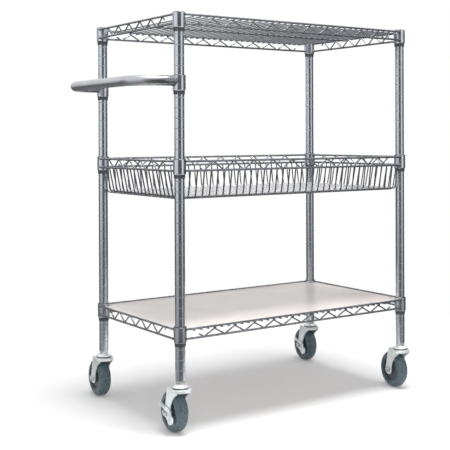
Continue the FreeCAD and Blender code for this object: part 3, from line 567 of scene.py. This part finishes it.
class Finishes:
    """Every finish of the cart, built once."""

    def __init__(self) -> None:
        """Build the materials."""
        # Polished tube under plate: clear cool stripes of the room, broken at each groove by a rougher line
        # with painted shade.
        self.post = GroovedPlate("chrome_plated_post", "#cad1d8", dark="#c5ccd3", light="#cfd6dd",
                                 roughness=0.2, gloss_spread=(-0.02, 0.03), patch_shades=(0.98, 1.02),
                                 relief=0.004, first_groove=corners("post_front_left")[0].z).build()
        # Plate on a casting: broader, softer streaks and painted shade on its top edge.
        self.collar = TopShadedPlate("chrome_plated_collar", "#cdd1d9", dark="#c0c4cc", light="#d9dce4",
                                 streak_mm=5.0).build()
        # Plated tube that is held: a satin cross run between arms darkened by painted shade.
        self.handle = GripPlate("chrome_plated_handle", "#c4c6cb", dark="#bcbec3", light="#cccfd3",
                                roughness=0.2, grain=Grain.ALONG_Y,
                                tube_end=corners("handle_tube")[0].x).build()
        # Drawn wire under thin plate: mid grey with streaks along it; the deck cross wires are a paler copy,
        # which is painted light.
        rim_tones = {"dark": "#6c6e74", "light": "#9c9ea4"}
        self.wire_x = PlatedSteel("chrome_plated_wire_long", "#84868c", grain=Grain.ALONG_X,
                                  **rim_tones).build()
        # Paler copy of the wire: painted light on the deck cross wires.
        self.wire_y_painted_light = PlatedSteel("chrome_plated_wire_cross_painted_light", "#9a9ca2", grain=Grain.ALONG_Y,
                                  dark="#84868c", light="#b0b2b8").build()
        self.wire = PlatedSteel("chrome_plated_wire_bent", "#84868c", grain=Grain.NONE, streak_mm=9.0,
                                **rim_tones).build()
        # Bright zinc on pressed sheet: near white and half matt; the race has a painted shadow line round its
        # lower lip.
        stamped_tones = {"colour": "#f6fbfb", "rubbed": "#e8eeef"}
        self.zinc = ZincPlate("bright_zinc_stamping", **stamped_tones).build()
        self.race = GapShadedZinc("bright_zinc_race", lip=corners("swivel_races")[0].z, **stamped_tones).build()
        # Zinc on turned steel: greyer and glossier than the stampings.
        self.bolt = ZincPlate("bright_zinc_fastener", "#cfd0d1", rubbed="#a7a8aa", roughness=0.24).build()
        # Moulded nylon: near black with a soft sheen.
        self.sleeve = MouldedPolymer("black_nylon_sleeve", "#414449", scuffed="#53565b",
                                     roughness=0.36).build()
        # Cast polyurethane: smooth blue grey with a clear highlight.
        self.tread = MouldedPolymer("blue_grey_polyurethane_tread", "#4f626a", scuffed="#5e7179",
                                    roughness=0.27, relief=0.04).build()
        # Moulded polypropylene: dark grey, duller than the tread.
        self.wheel = MouldedPolymer("dark_polypropylene_wheel", "#48545b", scuffed="#566268",
                                    roughness=0.34).build()
        # Calendered polypropylene: warm milky white with a satin shine.
        self.liner = MilkySheet("milky_polypropylene_sheet", "#f3ece8", cloud="#ece4e0").build()
        # The thinner sheet lets half of the light through and looks grey over the wires.
        self.basket_liner = MilkySheet("clear_grey_polypropylene_sheet", "#ececed", cloud="#e2e2e3",
                                       cover=0.5, roughness=0.2).build()


def dress(node: str, material: Material) -> None:
    """Give a CAD node its material.

    Args:
        node: Name of the CAD node.
        material: Material for all of its faces.
    """
    thing = frame["nodes"][node]
    thing.data.materials.clear()
    thing.data.materials.append(material)
    LOG.info("dressed %s with %s", node, material.name)


def settle(thing: bpy.types.Object, body: str, nodes: Sequence[str] = ()) -> None:
    """Make a piece ride on a body and hide what it stands for.

    Args:
        thing: The finished piece.
        body: CAD body it moves with.
        nodes: CAD nodes that it replaces.
    """
    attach(thing, body)
    if nodes:
        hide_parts(*nodes)
    LOG.info("built %s: %d faces", thing.name, len(thing.data.polygons))


class NodeRecipe:
    """A Geometry Nodes tree with named inputs, baked to a plain mesh."""

    def __init__(self, name: str, inputs: dict[str, str]) -> None:
        """Start a tree.

        Args:
            name: Name of the tree.
            inputs: Socket types by input name; geometry goes in first.
        """
        self.tree = bpy.data.node_groups.new(name, "GeometryNodeTree")
        face = self.tree.interface
        face.new_socket("Geometry", in_out="INPUT", socket_type="NodeSocketGeometry")
        self.ids = {label: face.new_socket(label, in_out="INPUT", socket_type=kind).identifier
                    for label, kind in inputs.items()}
        face.new_socket("Geometry", in_out="OUTPUT", socket_type="NodeSocketGeometry")
        self.given = add_node(self.tree, "NodeGroupInput").outputs

    def close(self, geometry: Socket) -> None:
        """Realise the instances, set the material and end the tree.

        Args:
            geometry: Socket with the finished geometry.
        """
        real = add_node(self.tree, "GeometryNodeRealizeInstances", inputs={"Geometry": geometry})
        smooth = add_node(self.tree, "GeometryNodeSetShadeSmooth", inputs={
            "Geometry": real.outputs["Geometry"]})
        coat = add_node(self.tree, "GeometryNodeSetMaterial", inputs={
            "Geometry": smooth.outputs["Geometry"], "Material": self.given["Material"]})
        add_node(self.tree, "NodeGroupOutput", inputs={"Geometry": coat.outputs["Geometry"]})

    def bake(self, name: str, points: Sequence[Vector], chained: bool,
             values: dict[str, Any]) -> bpy.types.Object:
        """Run the tree on guide points and keep the result as a plain mesh.

        Args:
            name: Name of the new piece.
            points: Guide points, in metres.
            chained: True where each guide point is joined to the next.
            values: Values of the named inputs.

        Returns:
            An object at the origin with the baked mesh.
        """
        edges = [(index, index + 1) for index in range(len(points) - 1)] if chained else []
        guide = bpy.data.meshes.new(f"{name}_guide")
        guide.from_pydata([tuple(point) for point in points], edges, [])
        source = put_in_scene(f"{name}_source", guide)
        modifier = source.modifiers.new("recipe", "NODES")
        modifier.node_group = self.tree
        for label, content in values.items():
            modifier[self.ids[label]] = content
        evaluated = source.evaluated_get(bpy.context.evaluated_depsgraph_get())
        mesh = bpy.data.meshes.new_from_object(evaluated)
        mesh.name = name
        bpy.data.objects.remove(source)
        bpy.data.meshes.remove(guide)
        return put_in_scene(name, mesh)


class WireRow(NodeRecipe):
    """A bent wire with chamfered ends, repeated in a row."""

    def __init__(self) -> None:
        """Build the tree."""
        super().__init__("bent_wire_row", {
            "Radius": "NodeSocketFloat", "Bend": "NodeSocketFloat", "Bend Steps": "NodeSocketInt",
            "Sides": "NodeSocketInt", "End Share": "NodeSocketFloat", "Count": "NodeSocketInt",
            "Step": "NodeSocketVector", "Material": "NodeSocketMaterial"})
        tree, given = self.tree, self.given
        line = add_node(tree, "GeometryNodeMeshToCurve", inputs={"Mesh": given["Geometry"]})
        full = add_node(tree, "GeometryNodeSetCurveRadius", inputs={
            "Curve": line.outputs["Curve"], "Radius": 1.0})
        ends = add_node(tree, "GeometryNodeCurveEndpointSelection")
        cut = add_node(tree, "GeometryNodeSetCurveRadius", inputs={
            "Curve": full.outputs["Curve"], "Selection": ends.outputs["Selection"],
            "Radius": given["End Share"]})
        bend = add_node(tree, "GeometryNodeFilletCurve", {"mode": "POLY"}, {
            "Curve": cut.outputs["Curve"], "Count": given["Bend Steps"], "Radius": given["Bend"],
            "Limit Radius": True})
        section = add_node(tree, "GeometryNodeCurvePrimitiveCircle", inputs={
            "Resolution": given["Sides"], "Radius": given["Radius"]})
        wire = add_node(tree, "GeometryNodeCurveToMesh", inputs={
            "Curve": bend.outputs["Curve"], "Profile Curve": section.outputs["Curve"], "Fill Caps": True})
        row = add_node(tree, "GeometryNodeMeshLine", {"mode": "OFFSET"}, {
            "Count": given["Count"], "Offset": given["Step"]})
        copies = add_node(tree, "GeometryNodeInstanceOnPoints", inputs={
            "Points": row.outputs["Mesh"], "Instance": wire.outputs["Mesh"]})
        self.close(copies.outputs["Instances"])


class WeldSpots(NodeRecipe):
    """A small round bead at every weld point, each turned and sized a little differently."""
    roundness: int = 2

    def __init__(self) -> None:
        """Build the tree."""
        super().__init__("weld_spots", {
            "Radius": "NodeSocketFloat", "Smallest": "NodeSocketFloat", "Largest": "NodeSocketFloat",
            "Seed": "NodeSocketInt", "Material": "NodeSocketMaterial"})
        tree, given = self.tree, self.given
        bead = add_node(tree, "GeometryNodeMeshIcoSphere", inputs={
            "Radius": given["Radius"], "Subdivisions": self.roundness})
        # The random node has a pair of limits for each data type: vectors at 0 and 1, floats at 2 and 3.
        size = add_node(tree, "FunctionNodeRandomValue", {"data_type": "FLOAT"}, {
            2: given["Smallest"], 3: given["Largest"], "Seed": given["Seed"]})
        turn = add_node(tree, "FunctionNodeRandomValue", {"data_type": "FLOAT_VECTOR"}, {
            1: (math.tau, math.tau, math.tau), "Seed": given["Seed"]})
        beads = add_node(tree, "GeometryNodeInstanceOnPoints", inputs={
            "Points": given["Geometry"], "Instance": bead.outputs["Mesh"], "Rotation": turn.outputs[0],
            "Scale": size.outputs[1]})
        self.close(beads.outputs["Instances"])


@dataclass
class GroovedPost:
    """One tube post, turned from a profile with fine ring grooves."""
    corner: str
    finishes: Finishes
    wall: float = 1.2 * MM
    groove_count: int = 34
    groove_width: float = 1.3 * MM
    groove_depth: float = 0.32 * MM
    shoulder: float = 0.4 * MM
    sides: int = 64

    def profile(self, radius: float, foot: float, head: float) -> list[tuple[float, float]]:
        """Draw the tube's section, up the outside and down the bore.

        Args:
            radius: Outer radius of the tube.
            foot: Height of its lower end.
            head: Height of its upper end.

        Returns:
            Radius and height of each corner of the section.
        """
        section = [(radius, foot), (radius, foot + self.shoulder)]
        half = self.groove_width / 2
        for number in range(1, self.groove_count + 1):
            level = foot + number * GROOVE_PITCH
            section += [(radius, level - half - self.shoulder), (radius, level - half),
                        (radius - self.groove_depth, level),
                        (radius, level + half), (radius, level + half + self.shoulder)]
        section += [(radius, head - self.shoulder), (radius, head)]
        bore = radius - self.wall
        return section + [(bore, head), (bore, foot)]

    def build(self) -> None:
        """Turn the post and put it in the place of its solid."""
        node = f"post_{self.corner}"
        low, high = corners(node)
        middle = (low + high) / 2
        section = self.profile((high.x - low.x) / 2, low.z, high.z)
        turns = [math.tau * side / self.sides for side in range(self.sides)]
        mesh = turned_mesh(f"{node}_tube", section, turns, (middle.x, middle.y), closed=True)
        mesh.polygons.foreach_set("use_smooth", [True] * len(mesh.polygons))
        mesh.materials.append(self.finishes.post)
        settle(put_in_scene(f"{node}_tube", mesh), "frame", [node])


@dataclass
class PostFrame:
    """Grooved posts, their caps, split sleeves and collars, and the push handle."""
    finishes: Finishes

    def build(self) -> None:
        """Turn the posts and dress what is fixed to them."""
        for corner in CORNERS:
            GroovedPost(corner, self.finishes).build()
        dress("post_caps", self.finishes.sleeve)
        dress("post_sleeves", self.finishes.sleeve)
        dress("stem_inserts", self.finishes.bolt)
        for tier in TIERS + ("handle",):
            dress(f"{tier}_collars", self.finishes.collar)
        dress("handle_tube", self.finishes.handle)


def dress_rims(tier: str, finishes: Finishes) -> None:
    """Dress the rims and the zigzag wires of a tier.

    Args:
        tier: Name of the tier.
        finishes: Materials of the cart.
    """
    for piece in ("upper_rims", "lower_rims", "zigzags"):
        dress(f"{tier}_{piece}", finishes.wire)


@dataclass
class WireShelf:
    """A flat wire deck on its rims, with a zigzag wire round the sides."""
    tier: str
    finishes: Finishes
    row: WireRow
    welds: WeldSpots
    wire_count: int = 34
    end_chamfer: float = 0.6 * MM
    end_share: float = 0.7
    sides: int = 14
    bead_radius: float = 1.5 * MM
    bead_shares: tuple[float, float] = (0.85, 1.2)
    weld_seed: int = 7

    def build(self) -> None:
        """Replace the deck wires, dress the rest and add the welds."""
        name = f"{self.tier}_deck_wires"
        low, high = corners(name)
        radius = (high.z - low.z) / 2
        first = low.x + radius
        step = (high.x - low.x - 2 * radius) / (self.wire_count - 1)
        level = low.z + radius
        points = [Vector((first, y, level)) for y in (
            low.y, low.y + self.end_chamfer, high.y - self.end_chamfer, high.y)]
        deck = self.row.bake(f"{self.tier}_deck", points, True, {
            "Radius": radius, "Bend": 0.0, "Bend Steps": 1, "Sides": self.sides, "End Share": self.end_share,
            "Count": self.wire_count, "Step": (step, 0.0, 0.0), "Material": self.finishes.wire_y_painted_light})
        settle(deck, "frame", [name])
        dress_rims(self.tier, self.finishes)
        dress(f"{self.tier}_support_bar", self.finishes.wire_x)
        rim_low, rim_high = corners(f"{self.tier}_upper_rims")
        rim = (rim_high.z - rim_low.z) / 2
        # Each wire meets the two long rims at its top and the support bar at its bottom.
        meets = ((rim_low.y + rim, level + radius), (rim_high.y - rim, level + radius),
                 ((rim_low.y + rim_high.y) / 2, level - radius))
        spots = [Vector((first + index * step, y, z)) for index in range(self.wire_count) for y, z in meets]
        beads = self.welds.bake(f"{self.tier}_deck_welds", spots, False, {
            "Radius": self.bead_radius, "Smallest": self.bead_shares[0], "Largest": self.bead_shares[1],
            "Seed": self.weld_seed, "Material": self.finishes.wire})
        settle(beads, "frame")


@dataclass
class HangingBasket:
    """Wires bent to a U across and along, under the rims of the middle tier."""
    finishes: Finishes
    row: WireRow
    welds: WeldSpots
    cross_count: int = 35
    long_count: int = 19
    pitch: float = 20 * MM
    bend: float = 11 * MM
    side_lean: float = 10 * MM
    end_lean: float = 14 * MM
    rim_bite: float = 0.3 * MM
    end_share: float = 1.0
    bend_steps: int = 6
    sides: int = 12
    bead_radius: float = 1.3 * MM
    bead_shares: tuple[float, float] = (0.85, 1.15)
    weld_seed: int = 11

    def u_wire(self, name: str, across: bool) -> tuple[float, Vector]:
        """Replace one set of U wires.

        Args:
            name: CAD node of the wires.
            across: True for the wires that run from front to back.

        Returns:
            The height at which the other set touches these wires, and the first wire's place.
        """
        low, high = corners(name)
        rim_low, rim_high = corners("basket_lower_rims")
        rim = (rim_high.z - rim_low.z) / 2
        top = rim_low.z + self.rim_bite
        if across:
            count, lean, span, start = self.cross_count, self.side_lean, high.x - low.x, low.x
            near, far = rim_low.y + rim, rim_high.y - rim
        else:
            count, lean, span, start = self.long_count, self.end_lean, high.y - low.y, low.y
            near, far = rim_low.x + rim, rim_high.x - rim
        radius = (span - self.pitch * (count - 1)) / 2
        first = start + radius
        floor = low.z + radius
        runs = [(near, top), (near + lean, floor), (far - lean, floor), (far, top)]
        points = [Vector((first, run, z)) if across else Vector((run, first, z)) for run, z in runs]
        step = (self.pitch, 0.0, 0.0) if across else (0.0, self.pitch, 0.0)
        wires = self.row.bake(name.replace("_wires", "_bent_wires"), points, True, {
            "Radius": radius, "Bend": self.bend, "Bend Steps": self.bend_steps, "Sides": self.sides,
            "End Share": self.end_share, "Count": count, "Step": step, "Material": self.finishes.wire})
        settle(wires, "frame", [name])
        return floor - radius if across else floor + radius, points[0]

    def build(self) -> None:
        """Build the wires and the welds where they cross and hang."""
        under, first_cross = self.u_wire("basket_cross_wires", True)
        above, first_long = self.u_wire("basket_long_wires", False)
        dress_rims("basket", self.finishes)
        level = (under + above) / 2
        across = [first_cross.x + index * self.pitch for index in range(self.cross_count)]
        along = [first_long.y + index * self.pitch for index in range(self.long_count)]
        spots = [Vector((x, y, level)) for x in across for y in along]
        low, high = corners("basket_lower_rims")
        rim = (high.z - low.z) / 2
        spots += [Vector((x, y, low.z)) for x in across for y in (low.y + rim, high.y - rim)]
        spots += [Vector((x, y, low.z)) for y in along for x in (low.x + rim, high.x - rim)]
        beads = self.welds.bake("basket_welds", spots, False, {
            "Radius": self.bead_radius, "Smallest": self.bead_shares[0], "Largest": self.bead_shares[1],
            "Seed": self.weld_seed, "Material": self.finishes.wire})
        settle(beads, "frame")


@dataclass
class LinerSheets:
    """The two milky sheets that lie on the bottom deck and on the basket floor."""
    finishes: Finishes

    def build(self) -> None:
        """Dress the sheets."""
        dress("bottom_liner", self.finishes.liner)
        dress("basket_liner", self.finishes.basket_liner)


@dataclass
class Caster:
    """One swivel caster with its fork, wheel and, on two corners, a side brake."""
    corner: str
    finishes: Finishes

    def build(self) -> None:
        """Dress the caster."""
        finishes = self.finishes
        coats = {"caster_stem": finishes.bolt, "caster_fork": finishes.zinc, "axle": finishes.bolt,
                 "tyre": finishes.tread, "wheel_body": finishes.wheel, "wheel_bush": finishes.bolt}
        if self.corner in BRAKED:
            coats |= {"brake_lever": finishes.zinc, "brake_cam": finishes.bolt}
        for piece, material in coats.items():
            dress(f"{piece}_{self.corner}", material)


@dataclass(frozen=True)
class Softbox:
    """One soft square lamp; polished metal shows it where it is mirrored."""
    name: str
    place: tuple[float, float, float]
    aim: tuple[float, float, float]
    side: float
    watts: float
    mirrored: bool

    def hang(self) -> None:
        """Hang the lamp and turn it to its aim."""
        light = bpy.data.lights.new(self.name, "AREA")
        light.size = self.side
        light.energy = self.watts
        thing = put_in_scene(self.name, light)
        thing.location = self.place
        thing.rotation_euler = (Vector(self.aim) - Vector(self.place)).to_track_quat("-Z", "Y").to_euler()
        thing.visible_glossy = self.mirrored


@dataclass(frozen=True)
class Card:
    """A sheet on the floor between two bearings in degrees, which may turn up at its far edge."""
    name: str
    bearings: tuple[float, float]
    near: float = 0.75
    far: float = 3.3
    level: float = 4 * MM
    upright: float = 1.5
    steps: int = 24

    def lay(self, material: Material) -> None:
        """Lay the sheet where only polished metal sees it, as a painted reflection.

        Args:
            material: What the sheet is made of.
        """
        sweep = [(self.near, self.level), (self.far, self.level)]
        if self.upright:
            sweep.append((self.far, self.upright))
        start, end = self.bearings
        turns = [math.radians(start + (end - start) * index / self.steps) for index in range(self.steps + 1)]
        mesh = turned_mesh(self.name, sweep, turns, (0.0, 0.0), closed=False)
        mesh.materials.append(material)
        thing = put_in_scene(self.name, mesh)
        for rays in ("camera", "diffuse", "shadow", "transmission"):
            setattr(thing, f"visible_{rays}", False)


@dataclass
class PhotoCamera:
    """The camera that took the photograph, as fitted to the posts and rims seen in it."""
    image_px: float = 450.0
    focal_px: float = 972.1
    centre_px: tuple[float, float] = (277.0, 140.0)
    azimuth: float = -35.89
    elevation: float = 0.19
    roll: float = -0.22
    offset_mm: tuple[float, float, float] = (-1188.2, -2045.25, 720.58)
    sensor_mm: float = 36.0
    clip: tuple[float, float] = (0.05, 60.0)

    def build(self) -> None:
        """Set the camera up, its offset measured from the floor under the front left post."""
        low, high = corners("post_front_left")
        post = (low + high) / 2
        turn, lift, lean = (math.radians(angle) for angle in (self.azimuth, self.elevation, self.roll))
        back = Vector((math.sin(turn) * math.cos(lift), -math.cos(turn) * math.cos(lift), math.sin(lift)))
        right = Vector((0.0, 0.0, 1.0)).cross(back).normalized()
        up = back.cross(right)
        leaning_right = right * math.cos(lean) + up * math.sin(lean)
        leaning_up = up * math.cos(lean) - right * math.sin(lean)
        axes = Matrix((leaning_right, leaning_up, back)).transposed().to_4x4()
        eye = Vector((post.x, post.y, 0.0)) + Vector(self.offset_mm) * MM
        data = bpy.data.cameras.new("photo_camera")
        data.sensor_width = self.sensor_mm
        data.sensor_fit = "HORIZONTAL"
        data.lens = self.focal_px * self.sensor_mm / self.image_px
        data.shift_x = (self.image_px / 2 - self.centre_px[0]) / self.image_px
        data.shift_y = (self.centre_px[1] - self.image_px / 2) / self.image_px
        data.clip_start, data.clip_end = self.clip
        thing = put_in_scene("photo_camera", data)
        thing.matrix_world = Matrix.Translation(eye) @ axes
        bpy.context.scene.camera = thing


@dataclass
class Studio:
    """Pale floor, white surround, soft lamps, and glowing grey cards that only the polished metal shows, as
    painted reflections.
    """
    surround_light: float = 0.5
    floor_size: float = 14.0
    floor_cells: int = 4
    tooth_mm: float = 2.5
    paper_tones: tuple[float, float] = (0.8, 0.84)
    paper_lift: float = 0.16
    paper_reach: float = 0.8
    melt_reach: float = 1.7
    tuft_mm: float = 16.67
    felt_glow_tones: tuple[float, float] = (0.11, 0.15)
    reflected_shadow_tone: float = 0.34
    lamps: tuple[Softbox, ...] = (
        Softbox("overhead_softbox", place=(0.05, -0.65, 3.4), aim=(0.05, -0.03, 0.0), side=1.5, watts=102.0,
                mirrored=True),
        Softbox("front_softbox", place=(-1.7, -3.0, 1.5), aim=(0.0, 0.0, 0.4), side=1.8, watts=20.0,
                mirrored=False))
    # Glowing cards seen only in polished metal: painted reflections that give the metal its dark stripes.
    painted_reflection_cards: tuple[Card, ...] = (
        Card("front_card", (-146.0, -86.0), upright=2.3),
        Card("right_card", (-50.0, 44.0)),
        Card("rear_card", (74.0, 104.0)),
        Card("left_strip", (106.0, 156.0), near=1.6, upright=0.6),
        Card("left_card", (130.0, 152.0)))
    # Glowing sheet seen only in polished metal: a painted reflection of the floor, grey where the cart's
    # shadow falls.
    painted_floor_reflection: Card = Card("floor_card", (-180.0, 180.0), near=0.6, far=12.0, level=2 * MM, upright=0.0)

    def seen(self, tree: Tree) -> Socket:
        """Tell rays that show the surround from rays that light the cart.

        Args:
            tree: Node tree that asks.

        Returns:
            A socket that is one for camera, glossy and transmission rays.
        """
        path = add_node(tree, "ShaderNodeLightPath")
        first = add_node(tree, "ShaderNodeMath", {"operation": "MAXIMUM"}, {
            0: path.outputs["Is Camera Ray"], 1: path.outputs["Is Glossy Ray"]})
        both = add_node(tree, "ShaderNodeMath", {"operation": "MAXIMUM"}, {
            0: first.outputs["Value"], 1: path.outputs["Is Transmission Ray"]})
        return both.outputs["Value"]

    def surround(self) -> None:
        """Make the white surround, dimmer as a light than as a backdrop."""
        world = bpy.data.worlds.new("white_surround")
        bpy.context.scene.world = world
        world.use_nodes = True
        tree = world.node_tree
        tree.nodes.clear()
        strength = add_node(tree, "ShaderNodeMapRange", inputs={
            "Value": self.seen(tree), "To Min": self.surround_light, "To Max": WHITE})
        back = add_node(tree, "ShaderNodeBackground", inputs={
            "Color": (WHITE, WHITE, WHITE, 1.0), "Strength": strength.outputs["Result"]})
        add_node(tree, "ShaderNodeOutputWorld", inputs={"Surface": back.outputs["Background"]})

    def white_paper(self) -> Material:
        """Make matt white paper that keeps a soft shadow and melts into the surround.

        Returns:
            The material.
        """
        material, tree, place = bare_material("white_paper_floor")
        tooth = add_node(tree, "ShaderNodeTexNoise", inputs={
            "Vector": place, "Scale": per_metre(self.tooth_mm)})
        tones = add_node(tree, "ShaderNodeMapRange", inputs={
            "Value": tooth.outputs["Fac"], "To Min": self.paper_tones[0], "To Max": self.paper_tones[1]})
        paper = add_node(tree, "ShaderNodeBsdfDiffuse", inputs={"Color": tones.outputs["Result"]})
        reach = add_node(tree, "ShaderNodeVectorMath", {"operation": "LENGTH"}, {0: place})
        far = add_node(tree, "ShaderNodeMapRange", {"interpolation_type": "SMOOTHSTEP"}, {
            "Value": reach.outputs["Value"], "From Min": self.paper_reach, "From Max": self.melt_reach})
        seen = self.seen(tree)
        lift = add_node(tree, "ShaderNodeMath", {"operation": "MULTIPLY"}, {0: seen, 1: self.paper_lift})
        glow = add_node(tree, "ShaderNodeEmission", inputs={"Strength": lift.outputs["Value"]})
        near = add_node(tree, "ShaderNodeAddShader", inputs={
            0: paper.outputs["BSDF"], 1: glow.outputs["Emission"]})
        share = add_node(tree, "ShaderNodeMath", {"operation": "MULTIPLY"}, {
            0: seen, 1: far.outputs["Result"]})
        white = add_node(tree, "ShaderNodeEmission", inputs={"Strength": WHITE})
        whole = add_node(tree, "ShaderNodeMixShader", inputs={
            "Fac": share.outputs["Value"], 1: near.outputs["Shader"], 2: white.outputs["Emission"]})
        add_node(tree, "ShaderNodeOutputMaterial", inputs={"Surface": whole.outputs["Shader"]})
        return material

    def floor(self) -> None:
        """Lay the paper floor."""
        mesh = bpy.data.meshes.new("studio_floor")
        shape = bmesh.new()
        bmesh.ops.create_grid(shape, x_segments=self.floor_cells, y_segments=self.floor_cells,
                              size=self.floor_size / 2)
        shape.to_mesh(mesh)
        shape.free()
        mesh.materials.append(self.white_paper())
        put_in_scene("studio_floor", mesh)

    def graded(self) -> Material:
        """Make glowing paper that is grey at the cart and white far away, a painted reflection of the
        shadowed floor.

        Returns:
            The material.
        """
        material, tree, place = bare_material("graded_painted_floor_reflection")
        reach = add_node(tree, "ShaderNodeVectorMath", {"operation": "LENGTH"}, {0: place})
        tone = add_node(tree, "ShaderNodeMapRange", inputs={
            "Value": reach.outputs["Value"], "To Min": self.reflected_shadow_tone, "To Max": WHITE,
            "From Min": self.painted_floor_reflection.near, "From Max": self.painted_floor_reflection.far})
        glow = add_node(tree, "ShaderNodeEmission", inputs={"Strength": tone.outputs["Result"]})
        add_node(tree, "ShaderNodeOutputMaterial", inputs={"Surface": glow.outputs["Emission"]})
        return material

    def felt(self) -> Material:
        """Make dark grey felt that glows evenly, for painted reflections.

        Returns:
            The material.
        """
        material, tree, place = bare_material("grey_felt_painted_reflection")
        tufts = add_node(tree, "ShaderNodeTexNoise", inputs={
            "Vector": place, "Scale": per_metre(self.tuft_mm)})
        tones = add_node(tree, "ShaderNodeMapRange", inputs={
            "Value": tufts.outputs["Fac"], "To Min": self.felt_glow_tones[0], "To Max": self.felt_glow_tones[1]})
        glow = add_node(tree, "ShaderNodeEmission", inputs={"Strength": tones.outputs["Result"]})
        add_node(tree, "ShaderNodeOutputMaterial", inputs={"Surface": glow.outputs["Emission"]})
        return material

    def build(self) -> None:
        """Set up the whole studio."""
        self.surround()
        self.floor()
        for lamp in self.lamps:
            lamp.hang()
        felt = self.felt()
        for card in self.painted_reflection_cards:
            card.lay(felt)
        self.painted_floor_reflection.lay(self.graded())
        bpy.context.scene.view_settings.view_transform = "Standard"


def main() -> None:
    """Build every sub-assembly in order."""
    logging.basicConfig(level=logging.INFO, format="%(message)s")
    finishes = Finishes()
    row = WireRow()
    welds = WeldSpots()
    PostFrame(finishes).build()
    for tier in DECKS:
        WireShelf(tier, finishes, row, welds).build()
    HangingBasket(finishes, row, welds).build()
    LinerSheets(finishes).build()
    for corner in CORNERS:
        Caster(corner, finishes).build()
    dress("swivel_races", finishes.race)
    dress("swivel_balls", finishes.bolt)
    Studio().build()
    PhotoCamera().build()


if __name__ == "__main__":
    main()
